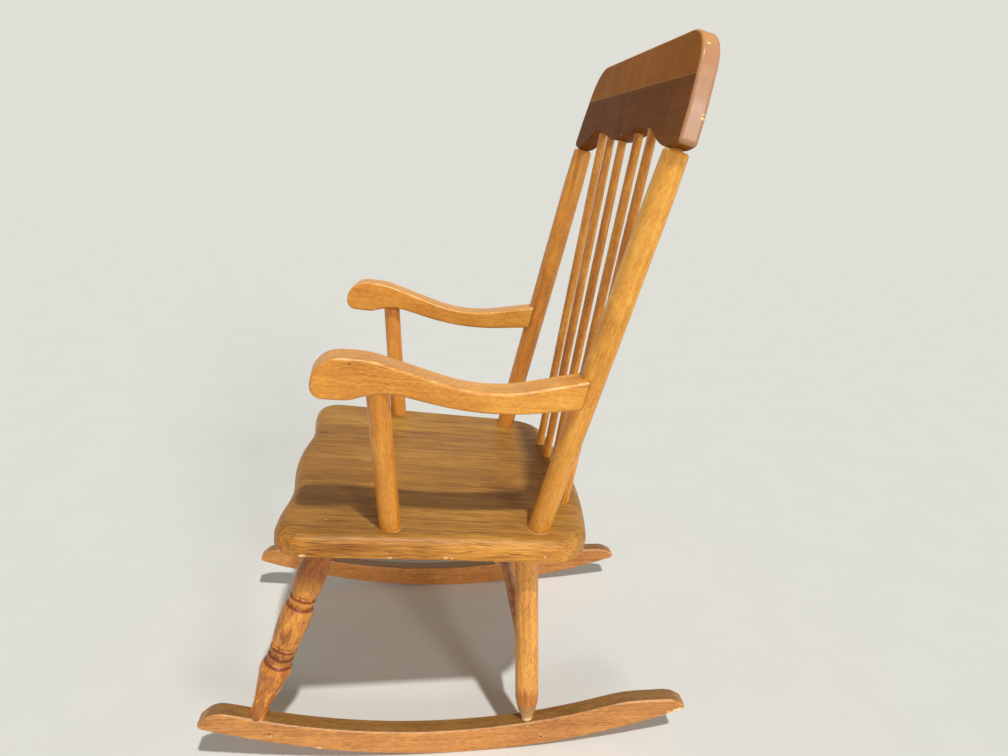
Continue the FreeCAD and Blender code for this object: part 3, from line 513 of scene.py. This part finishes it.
@dataclass(frozen=True)
class Wood:
    """One stained and varnished wood."""

    name: str
    body: Colour
    light: Colour
    dark: Colour
    pore: Colour
    ring_spacing: float = 0.0060
    ring_strength: float = 0.30
    wander: float = 0.010
    streak: float = 1.0
    streak_scales: Place = (8.0, 210.0, 210.0)
    blotch: float = 0.8
    blotch_scales: Place = (26.0, 55.0, 55.0)
    blotch_bend: float = 0.5
    fibre: float = 1.2
    fibre_scales: Place = (110.0, 850.0, 850.0)
    pores: float = 0.35
    pore_scales: Place = (60.0, 1150.0, 1150.0)
    # share of bare wood and painted highlight on upper edges
    edge_wear_and_highlight: float = 0.35
    roughness: float = 0.40
    specular: float = 0.45
    coat: float = 0.06
    end_gloss: float = 0.0
    bump: float = 0.45
    tints: tuple[Tint, ...] = ()

    def dress(self, node: str, grain: Grain, sawing: Sawing, seed: float,
              zones: tuple[Zone, ...] = (), marks: tuple[Spot | Seam, ...] = ()) -> None:
        """Make the material for one piece and put it on.

        Args:
            node: name of the piece, which the material is named for.
            grain: which way the wood lies.
            sawing: where the heart of the tree lies.
            seed: shifts the pattern, so that no two pieces match.
            zones: stretches of another colour, under the wear and painted highlight.
            marks: chips, marks and seams, over the wear and painted highlight.
        """
        surface = Surface(f"{self.name}_{node}")
        figure = self.figure(surface, grain, sawing, seed)
        colour = self.stain(figure)
        for tint in (*self.tints, *zones):
            colour = tint.over(colour, figure)
        # upper edges: worn bare wood together with a painted highlight
        wear_and_highlight = self.wear_and_highlight_edges(figure)
        colour = wear_and_highlight.mix(colour, BARE_AND_HIGHLIGHT)
        for mark in marks:
            colour = mark.over(colour, figure)
        coat = self.coat
        if self.end_gloss:
            shiny_end = abs(figure.normal.dot(LEFT)).step(*COATED_END)
            coat = shiny_end * (self.end_gloss + figure.fibre) + coat
        height = figure.total(0.0, HEIGHT_WEIGHTS)
        material = surface.finish({
            "Base Color": colour,
            "Roughness": figure.total(self.roughness, ROUGHNESS_WEIGHTS) + wear_and_highlight * WORN_ROUGHNESS,
            "Normal": surface.bump(self.bump, BUMP_HEIGHT, height),
            "Coat Weight": coat,
            "Coat Roughness": COAT_ROUGHNESS,
            "Specular IOR Level": self.specular,
        })
        mesh = bpy.data.objects[node].data
        mesh.materials.clear()
        mesh.materials.append(material)
        log.info("%s is dressed in %s", node, self.name)

    def figure(self, surface: Surface, grain: Grain, sawing: Sawing, seed: float) -> Figure:
        """Lay the patterns of the wood in one piece.

        Args:
            surface: the material.
            grain: which way the wood lies.
            sawing: where the heart of the tree lies.
            seed: shifts the pattern.

        Returns:
            The places and patterns.
        """
        world = surface.place()
        inside = grain.placed(surface, world)
        shifted = inside.moved("ADD", tuple(seed * step for step in SEED_STEPS))
        along, across, out = shifted.parts()
        drift = shifted.noise(DRIFT_SCALES) * self.wander
        lines = surface.add("ShaderNodeCombineXYZ", {}, {
            "X": along, "Y": across + drift, "Z": out + drift * DRIFT_OUT})
        streak = lines.noise(self.streak_scales, detail=3.0, roughness=0.6)

        _, true_across, true_out = inside.parts()
        heart_across, heart_out = sawing.value
        side = true_across - heart_across + drift
        depth = true_out - heart_out
        radius = (side * side + depth * depth) ** 0.5
        ring = (radius / self.ring_spacing + streak * RING_RAGGED + seed).fraction()
        return Figure(
            grain=grain, world=world, inside=inside, shifted=shifted, streak=streak,
            normal=surface.add("ShaderNodeNewGeometry", {}, {}, "Normal"),
            fibre=lines.noise(self.fibre_scales, detail=2.0, roughness=0.6),
            pores=lines.noise(self.pore_scales, detail=1.0).step(*PORE_EDGE),
            blotch=shifted.noise(self.blotch_scales, detail=2.0, roughness=0.6, bend=self.blotch_bend),
            cloud=shifted.noise(CLOUD_SCALES, detail=1.0),
            late=ring.step(*LATE_WOOD_RISE) * ring.step(*LATE_WOOD_FALL))

    def stain(self, figure: Figure) -> Shade:
        """Colour of the stained wood, from dark over body to light, with pores.

        Args:
            figure: the patterns.

        Returns:
            The colour.
        """
        tone = figure.total(0.5, {"streak": self.streak, "blotch": self.blotch, "fibre": self.fibre,
                                  "cloud": self.blotch, "late": -self.ring_strength})
        darker = (2.0 * tone).mix(self.dark, self.body)
        lighter = (2.0 * tone - 1.0).mix(darker, self.light)
        return (figure.pores * self.pores).mix(lighter, self.pore)

    def wear_and_highlight_edges(self, figure: Figure) -> Shade:
        """Share of bare wood and painted highlight on upper edges that run with the grain.

        Args:
            figure: the places and patterns.

        Returns:
            A number from 0 to 1, broken up by noise.
        """
        _, across, out = figure.grain.axes()
        corner = abs(figure.normal.dot(tuple(across)) * figure.normal.dot(tuple(out))) * 2.0
        upward = figure.normal.dot(UP).step(*WEAR_HIGHLIGHT_UPWARD)
        broken = figure.shifted.noise(WEAR_HIGHLIGHT_SCALES, detail=3.0, roughness=0.65).step(*WEAR_HIGHLIGHT_BREAKS)
        return corner.step(*WEAR_HIGHLIGHT_CORNER) * upward * broken * self.edge_wear_and_highlight


SEAT_WOOD = Wood(
    "seat_wood", body=seen(178, 126, 54), light=seen(206, 156, 80), dark=seen(122, 78, 34),
    pore=seen(78, 44, 20), ring_spacing=0.0085, ring_strength=0.14, wander=0.016,
    streak=0.85, streak_scales=(14.0, 540.0, 540.0), blotch=0.7, blotch_scales=(12.0, 40.0, 40.0),
    fibre=0.95, fibre_scales=(34.0, 1100.0, 1100.0), pores=0.55, pore_scales=(26.0, 800.0, 800.0),
    edge_wear_and_highlight=0.10, roughness=0.46, specular=0.16, bump=0.8,
    # side and front edges of the seat made paler: painted sheen
    tints=tuple(Tint(way, 0.35, 0.95, (1.40, 1.28, 1.26)) for way in (LEFT, RIGHT, FRONT)))
# far board lighter: partly its own tone, partly a painted reflection
FAR_BOARD_WOOD = replace(
    SEAT_WOOD, name="far_board_wood", body=seen(190, 138, 56), light=seen(216, 168, 84),
    dark=seen(138, 90, 38))
HONEY_WOOD = Wood(
    "honey_wood", body=seen(220, 148, 52), light=seen(246, 184, 84), dark=seen(176, 104, 30),
    pore=seen(148, 82, 26), ring_strength=0.08, wander=0.008, streak=0.60, blotch=0.7,
    fibre=1.1, fibre_scales=(170.0, 1100.0, 1100.0), pores=0.28, pore_scales=(150.0, 1300.0, 1300.0),
    edge_wear_and_highlight=0.8, roughness=0.37)
# upward faces of the arms made lighter: painted light
ARM_WOOD = replace(HONEY_WOOD, name="arm_wood", tints=(Tint(UP, 0.45, 0.92, (1.12, 1.16, 1.16)),))
SPINDLE_WOOD = replace(
    HONEY_WOOD, name="spindle_wood", body=seen(218, 142, 46), light=seen(250, 192, 92),
    dark=seen(166, 92, 22), streak=1.1)
BROWN_POST_WOOD = replace(
    HONEY_WOOD, name="post_wood", body=seen(206, 130, 38), light=seen(232, 162, 64),
    dark=seen(160, 90, 24))
LEG_WOOD = replace(
    HONEY_WOOD, name="leg_wood", body=seen(204, 132, 52), light=seen(234, 162, 66),
    dark=seen(146, 84, 36), blotch=1.7, blotch_scales=(60.0, 120.0, 120.0), streak=0.4, fibre=1.4,
    edge_wear_and_highlight=0.0)
# rear legs lighter than the front legs: partly their own tone, partly a painted highlight
REAR_LEG_WOOD = replace(
    LEG_WOOD, name="rear_leg_wood", body=seen(230, 160, 72), light=seen(250, 194, 104),
    dark=seen(180, 110, 48), blotch=0.7, blotch_scales=(30.0, 110.0, 110.0),
    streak=1.0, streak_scales=(7.0, 260.0, 260.0))
ROCKER_WOOD = Wood(
    "rocker_wood", body=seen(204, 136, 68), light=seen(232, 168, 92), dark=seen(152, 92, 42),
    pore=seen(116, 64, 28), ring_spacing=0.010, ring_strength=0.10,
    streak=0.8, streak_scales=(6.0, 260.0, 260.0), blotch=0.6, blotch_scales=(22.0, 70.0, 70.0),
    fibre=1.2, fibre_scales=(130.0, 1050.0, 1050.0), pores=0.45, pore_scales=(110.0, 1200.0, 1200.0),
    edge_wear_and_highlight=0.22, tints=(Tint(UP, 0.70, 0.97, seen(184, 196, 188)),))
CREST_UPPER_WOOD = Wood(
    "crest_upper_wood", body=seen(168, 100, 30), light=seen(196, 128, 52), dark=seen(124, 70, 18),
    pore=seen(84, 44, 16), ring_spacing=0.009, ring_strength=0.06, streak=0.25,
    blotch=0.75, blotch_scales=(30.0, 9.0, 9.0), blotch_bend=1.6, fibre=0.35, pores=0.20,
    edge_wear_and_highlight=0.3, roughness=0.50, specular=0.02, coat=0.04, end_gloss=0.55,
    # ends and upward faces of both crest boards made paler: painted sheen on the ends, painted highlight on
    # top
    tints=(Tint(LEFT, 0.30, 0.75, PAINTED_CREST_END_SHEEN, "MIX", 0.75),
           Tint(RIGHT, 0.30, 0.75, PAINTED_CREST_END_SHEEN, "MIX", 0.75),
           Tint(UP, 0.55, 0.85, seen(210, 156, 100), "MIX", 0.8)))
CREST_LOWER_WOOD = replace(
    CREST_UPPER_WOOD, name="crest_lower_wood", body=seen(126, 70, 18), light=seen(156, 98, 44),
    dark=seen(88, 46, 10))
DOWEL_WOOD = Wood(
    "dowel_wood", body=seen(214, 180, 130), light=seen(230, 200, 156), dark=seen(180, 140, 96),
    pore=seen(150, 110, 70), edge_wear_and_highlight=0.0)


@dataclass
class SeatBoards:
    """Four edge-glued boards of the seat, the far one lighter, partly in its own tone and partly by a
    painted reflection.
    """

    woods: tuple[Wood, ...] = (FAR_BOARD_WOOD, SEAT_WOOD, SEAT_WOOD, SEAT_WOOD)
    sawings: tuple[Sawing, ...] = (Sawing.FLAT, Sawing.RIFT, Sawing.FLAT, Sawing.RIFT)
    seeds: tuple[float, ...] = (0.31, 1.17, 2.05, 0.74)
    front_zone: tuple[Zone, ...] = (Zone(-0.05, 0.050, seen(238, 234, 228), 0.070),)
    near_marks: tuple[Spot, ...] = (
        Spot((0.1862, -0.1524, 0.2700), 0.0026, CHIP),
        Spot((0.1831, -0.0664, 0.2620), 0.0017, CHIP),
        Spot((0.1810, -0.0101, 0.2580), 0.0015, CHIP),
        Spot((0.1808, -0.0040, 0.2575), 0.0011, CHIP),
        Spot((0.1772, 0.0932, 0.2520), 0.0013, CHIP),
        Spot((0.1525, -0.1322, 0.2899), 0.0011, BARE_AND_HIGHLIGHT, share=0.45),
    )

    def dress(self) -> None:
        """Give each board its own length of wood, and the near one its marks."""
        boards = list(zip(self.woods, self.sawings, self.seeds))
        for number, (wood, sawing, seed) in enumerate(boards, start=1):
            node = f"seat_board_{number}"
            marks = self.near_marks if number == len(boards) else ()
            wood.dress(node, Grain.of(node, UP, SEAT_GRAIN), sawing, seed, self.front_zone, marks)


@dataclass
class CrestRail:
    """Two boards of the crest rail, the lower one darker."""

    face: Place = (0.0, 0.9686, -0.2486)
    lower_seed: float = 0.5
    upper_seed: float = 1.9
    glue_line: tuple[Zone, ...] = (Zone(0.0, 0.0005, seen(200, 150, 96), 0.0005, "MIX", 0.55, 1),)
    lower_marks: tuple[Spot, ...] = (
        Spot((0.2036, 0.2082, 0.6988), 0.0014, CHIP),
        Spot((0.2040, 0.2075, 0.6954), 0.0016, BARE_AND_HIGHLIGHT),
        Spot((-0.0224, 0.1880, 0.6847), 0.0022, CREST_PALE_SPOT),
        Spot((0.0197, 0.1880, 0.6850), 0.0022, CREST_PALE_SPOT),
    )
    upper_marks: tuple[Spot, ...] = (
        Spot((0.1482, 0.2107, 0.7734), 0.0020, seen(196, 146, 92)),
        Spot((0.1846, 0.2141, 0.7607), 0.0016, BARE_AND_HIGHLIGHT),
    )

    def dress(self) -> None:
        """Dress both boards."""
        lower, upper = "crest_lower_board", "crest_upper_board"
        grain_way = Vector(LEFT)
        CREST_LOWER_WOOD.dress(lower, Grain.of(lower, self.face, grain_way), Sawing.FLAT, self.lower_seed,
                               self.glue_line, self.lower_marks)
        CREST_UPPER_WOOD.dress(upper, Grain.of(upper, self.face, grain_way), Sawing.FLAT, self.upper_seed,
                               marks=self.upper_marks)


@dataclass
class Frame:
    """Posts, spindles, arms, supports, legs, stretchers and rockers."""

    spindles: int = 5
    first_seed: float = 0.2
    seed_step: float = 0.37
    # upper stretch of each back post made lighter: painted light
    post_painted_light_zones: tuple[Zone, ...] = (Zone(0.36, 0.60, (1.12, 1.17, 1.25), 0.20),)
    front_leg_zones: tuple[Zone, ...] = (
        Zone(0.0785, 0.0800, GROOVE),
        Zone(0.0875, 0.0890, GROOVE),
        Zone(0.0965, 0.0975, seen(186, 146, 112)),
        Zone(0.1470, 0.1485, GROOVE),
        Zone(0.1570, 0.1580, GROOVE),
        # top of the front leg, under the seat, made darker: painted shade
        Zone(0.1900, 0.2500, seen(206, 184, 170), 0.0200),
        Zone(0.0240, 0.0720, (1.38, 1.36, 1.08), 0.0160),
    )
    rear_leg_zones: tuple[Zone, ...] = (
        Zone(0.0, 0.0300, seen(196, 160, 116), 0.0040, "MIX", 0.75),
        Zone(0.0, 0.0170, seen(236, 204, 142), 0.0020, "MIX", 0.90),
        Zone(0.0300, 0.0460, seen(222, 200, 184), 0.0120),
    )
    near_arm_marks: tuple[Spot, ...] = (
        Spot((0.1999, -0.1009, 0.4713), 0.0012, DARK_MARK),
        Spot((0.1878, -0.0694, 0.4693), 0.0010, DARK_MARK),
    )
    near_leg_marks: tuple[Spot, ...] = (Spot((0.1632, -0.2081, 0.0838), 0.0010, CHIP),)
    near_rocker_marks: tuple[Spot, ...] = (
        Spot((0.1663, 0.1658, 0.0259), 0.0016, DARK_MARK, share=0.6),
        Spot((0.1663, 0.1015, 0.0162), 0.0024, NAIL_RIM, 0.3, (1.0, 1.0, 1.0), 0.6),
        Spot((0.1663, -0.1965, 0.0395), 0.0022, NAIL_RIM, 0.3, (1.0, 1.0, 1.0), 0.5),
        Spot((0.1663, 0.0852, 0.0299), 0.0010, CHIP),
        Spot((0.1650, 0.2440, 0.0293), 0.0034, FRESH_CHIP, 0.6),
        Spot((0.1655, 0.2550, 0.0335), 0.0044, FRESH_CHIP, 0.6),
        Spot((0.1655, 0.2650, 0.0372), 0.0052, FRESH_CHIP, 0.6),
        Spot((0.1660, -0.1465, 0.0195), 0.0026, FRESH_CHIP, 0.6),
    )
    arm_end: Vector = field(default_factory=lambda: Vector((0.1814, 0.1282, 0.4420)))
    arm_end_way: Vector = field(default_factory=lambda: Vector((-0.0798, 0.9671, -0.2410)))

    def dress(self) -> None:
        """Dress each piece along its own grain."""
        seed = self.dress_side("left", self.first_seed, HONEY_WOOD, Vector((1.0, 1.0, 1.0)),
                               self.near_arm_marks, self.near_leg_marks, self.near_rocker_marks)
        seed = self.dress_side("right", seed, BROWN_POST_WOOD, Vector((-1.0, 1.0, 1.0)))
        for node, face, wood in (
            *((f"spindle_{number}", BACK, SPINDLE_WOOD) for number in range(1, self.spindles + 1)),
            ("front_stretcher", UP, LEG_WOOD),
            ("rear_stretcher", UP, LEG_WOOD),
        ):
            seed += self.seed_step
            wood.dress(node, Grain.of(node, face), Sawing.DOWEL, seed)
        DOWEL_WOOD.dress("arm_dowels", Grain.of("arm_dowels", UP), Sawing.DOWEL, seed)

    def dress_side(self, side: str, seed: float, post_wood: Wood, mirror: Vector,
                   arm_marks: tuple[Spot, ...] = (), leg_marks: tuple[Spot, ...] = (),
                   rocker_marks: tuple[Spot, ...] = ()) -> float:
        """Dress the pieces of one side.

        Args:
            side: left or right, as the sitter has it.
            seed: seed of the piece before.
            post_wood: wood of the back post.
            mirror: turns a place on the left side into one on this side.
            arm_marks: marks on the arm.
            leg_marks: marks on the front leg.
            rocker_marks: marks on the rocker.

        Returns:
            Seed of the last piece.
        """
        seam = Seam(tuple(mirror * self.arm_end), tuple(mirror * self.arm_end_way))
        for node, wood, face, sawing, zones, marks in (
            (f"back_post_{side}", post_wood, BACK, Sawing.DOWEL, self.post_painted_light_zones, ()),
            (f"arm_{side}", ARM_WOOD, LEFT, Sawing.FLAT, (), (*arm_marks, seam)),
            (f"arm_support_{side}", BROWN_POST_WOOD, BACK, Sawing.DOWEL, (), ()),
            (f"front_leg_{side}", LEG_WOOD, LEFT, Sawing.DOWEL, self.front_leg_zones, leg_marks),
            (f"rear_leg_{side}", REAR_LEG_WOOD, LEFT, Sawing.DOWEL, self.rear_leg_zones, ()),
            (f"rocker_{side}", ROCKER_WOOD, LEFT, Sawing.FLAT, (), rocker_marks),
        ):
            seed += self.seed_step
            wood.dress(node, Grain.of(node, face), sawing, seed, zones, marks)
        return seed


@dataclass
class GlueBeads:
    """Thin beads of dried glue round the feet of the near support, post and front leg."""

    thickness: float = 0.0005
    segments: int = 56
    sides: int = 8
    swell: float = 0.0002
    swollen_sectors: tuple[tuple[float, float], ...] = ((-0.4, 0.5), (1.6, 2.2), (-2.6, -2.0))
    support_radius: float = 0.0110
    post_radius: float = 0.01175
    leg_radius: float = 0.0093
    leg_tenon: float = 0.0125
    rocker_top_normal: Vector = field(default_factory=lambda: Vector((0.0, 0.26, 0.966)))
    roughness: float = 0.4
    fleck_scales: Place = (900.0, 900.0, 900.0)
    fleck_contrast: float = 2.0
    fleck_roughness: float = 0.2
    bump: float = 0.4
    bump_height: float = 0.2 * MILLIMETRE

    def build(self) -> None:
        """Lay one bead at each foot."""
        glue = self.glue()
        for name, node, radius in (("support_glue", "arm_support_left", self.support_radius),
                                   ("post_glue", "back_post_left", self.post_radius)):
            grain = Grain.of(node, BACK)
            reach = (SEAT_POINT - grain.centre).dot(SEAT_NORMAL) / grain.along.dot(SEAT_NORMAL)
            self.lay(name, radius, grain.centre + grain.along * reach, SEAT_NORMAL, glue)
        grain = Grain.of("front_leg_left", LEFT)
        foot = grain.centre + grain.along * (self.leg_tenon - grain.size[0] / 2)
        self.lay("leg_glue", self.leg_radius, foot, self.rocker_top_normal, glue)

    def lay(self, name: str, radius: float, centre: Vector, normal: Vector,
            glue: bpy.types.Material) -> None:
        """Model one bead as a ring that is thicker here and there.

        Args:
            name: name of the bead.
            radius: radius of the foot that it goes round.
            centre: middle of the ring.
            normal: direction that the wood under it looks in.
            glue: its material.
        """
        bpy.ops.object.select_all(action="DESELECT")
        bpy.ops.mesh.primitive_torus_add(
            major_radius=radius, minor_radius=self.thickness, major_segments=self.segments,
            minor_segments=self.sides, location=centre, rotation=normal.to_track_quat("Z", "Y").to_euler())
        bead = bpy.context.object
        bead.name = name
        for start, end in self.swollen_sectors:
            bpy.ops.object.mode_set(mode="EDIT")
            bpy.ops.mesh.select_mode(type="VERT")
            bpy.ops.mesh.select_all(action="DESELECT")
            bpy.ops.object.mode_set(mode="OBJECT")
            for vertex in bead.data.vertices:
                vertex.select = start < math.atan2(vertex.co.y, vertex.co.x) < end
            bpy.ops.object.mode_set(mode="EDIT")
            bpy.ops.transform.shrink_fatten(value=self.swell)
            bpy.ops.object.mode_set(mode="OBJECT")
        bpy.ops.object.shade_smooth()
        bpy.ops.object.transform_apply(location=True, rotation=True, scale=True)
        bead.data.materials.append(glue)
        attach(bead, "root")
        log.info("%s is laid", name)

    def glue(self) -> bpy.types.Material:
        """Make dried glue, paler and darker in small flecks.

        Returns:
            Its material.
        """
        surface = Surface("dried_glue")
        flecks = surface.place().noise(self.fleck_scales, detail=2.0, roughness=0.6)
        return surface.finish({
            "Base Color": (0.5 + flecks * self.fleck_contrast).mix(GLUE_DARK, GLUE_LIGHT),
            "Roughness": self.roughness + flecks * self.fleck_roughness,
            "Normal": surface.bump(self.bump, self.bump_height, flecks),
        })


@dataclass
class Studio:
    """Floor, lights and camera."""

    floor_size: float = 60.0
    floor_dark: Colour = seen(226, 227, 223)
    floor_light: Colour = seen(235, 236, 232)
    mottle_scales: Place = (9.0, 9.0, 9.0)
    mottle_strength: float = 0.9
    floor_roughness: float = 0.8
    key_way: Vector = field(default_factory=lambda: Vector((0.50, 0.20, 1.0)))
    key_strength: float = 2.1
    key_angle: float = 2.5
    fill_way: Vector = field(default_factory=lambda: Vector((1.0, 0.45, 0.40)))
    fill_strength: float = 1.0
    fill_angle: float = 14.0
    lamp_distance: float = 2.0
    lamp_colour: Colour = (1.0, 0.99, 0.965)
    wall_colour: Colour = (0.742, 0.736, 0.684)
    ceiling_colour: Colour = (0.175, 0.17, 0.155)
    ceiling_edge: tuple[float, float] = (0.20, 0.42)
    camera_place: Vector = field(default_factory=lambda: Vector((0.80828, -0.03956, 0.66035)))
    camera_turn: tuple[float, float, float] = (76.10054, -1.92247, 83.05081)
    focal_length: float = 24.67
    film_width: float = 36.0
    shift_across: float = -0.00099
    shift_up: float = -0.0532
    nearest_seen: float = 0.01

    def build(self) -> None:
        """Make the floor, the lights, the world and the camera."""
        self.lay_floor()
        self.hang_lamp("key_light", self.key_way, self.key_strength, self.key_angle)
        self.hang_lamp("fill_light", self.fill_way, self.fill_strength, self.fill_angle)
        self.surround()
        self.place_camera()

    def lay_floor(self) -> None:
        """Pale floor under the rockers."""
        bpy.ops.object.select_all(action="DESELECT")
        bpy.ops.mesh.primitive_plane_add(size=self.floor_size, location=(0, 0, 0))
        floor = bpy.context.object
        floor.name = "floor"
        surface = Surface("floor_paint")
        noise = surface.place().noise(self.mottle_scales, detail=4.0, roughness=0.6)
        mottle = 0.5 + noise * self.mottle_strength
        floor.data.materials.append(surface.finish({
            "Base Color": mottle.mix(self.floor_dark, self.floor_light),
            "Roughness": self.floor_roughness,
            "Specular IOR Level": 0.0,
        }))
        log.info("the floor is laid")

    def hang_lamp(self, name: str, way: Vector, strength: float, angle: float) -> None:
        """Hang one far lamp.

        Args:
            name: name of the lamp.
            way: direction from the chair to the lamp.
            strength: its strength.
            angle: how wide it looks from the chair, in degrees.
        """
        bpy.ops.object.light_add(type="SUN", location=way * self.lamp_distance)
        lamp = bpy.context.object
        lamp.name = name
        lamp.rotation_euler = way.to_track_quat("Z", "Y").to_euler()
        lamp.data.energy = strength
        lamp.data.angle = math.radians(angle)
        lamp.data.color = self.lamp_colour
        log.info("%s is hung", name)

    def surround(self) -> None:
        """Pale walls under a darker ceiling, which lights the chair but isn't seen or mirrored."""
        world = bpy.data.worlds.new("studio_world")
        bpy.context.scene.world = world
        world.use_nodes = True
        room = Nodes(world.node_tree, "Background")
        _, _, height = room.add("ShaderNodeTexCoord", {}, {}, "Generated").parts()
        seen_ray = room.add("ShaderNodeLightPath", {}, {}, "Is Camera Ray")
        mirrored_ray = room.add("ShaderNodeLightPath", {}, {}, "Is Glossy Ray")
        ceiling = height.step(*self.ceiling_edge) * (1 - seen_ray.maths("MAXIMUM", seen_ray, mirrored_ray))
        colour = ceiling.mix(self.wall_colour, self.ceiling_colour)
        room.feed(room.shader, {"Color": colour, "Strength": 1.0})
        log.info("the walls and the ceiling are lit")

    def place_camera(self) -> None:
        """Camera where the photograph was taken from."""
        data = bpy.data.cameras.new("camera")
        camera = bpy.data.objects.new("camera", data)
        bpy.context.collection.objects.link(camera)
        camera.location = self.camera_place
        camera.rotation_euler = Euler([math.radians(turn) for turn in self.camera_turn], "XYZ")
        data.lens = self.focal_length
        data.sensor_width = self.film_width
        data.shift_x = self.shift_across
        data.shift_y = self.shift_up
        data.clip_start = self.nearest_seen
        bpy.context.scene.camera = camera
        log.info("the camera is in its place")


def main() -> None:
    """Build the pieces in order and report each."""
    logging.basicConfig(level=logging.INFO)
    SeatBoards().dress()
    CrestRail().dress()
    Frame().dress()
    GlueBeads().build()
    Studio().build()
    bpy.context.scene.view_settings.view_transform = "Standard"


if __name__ == "__main__":
    main()
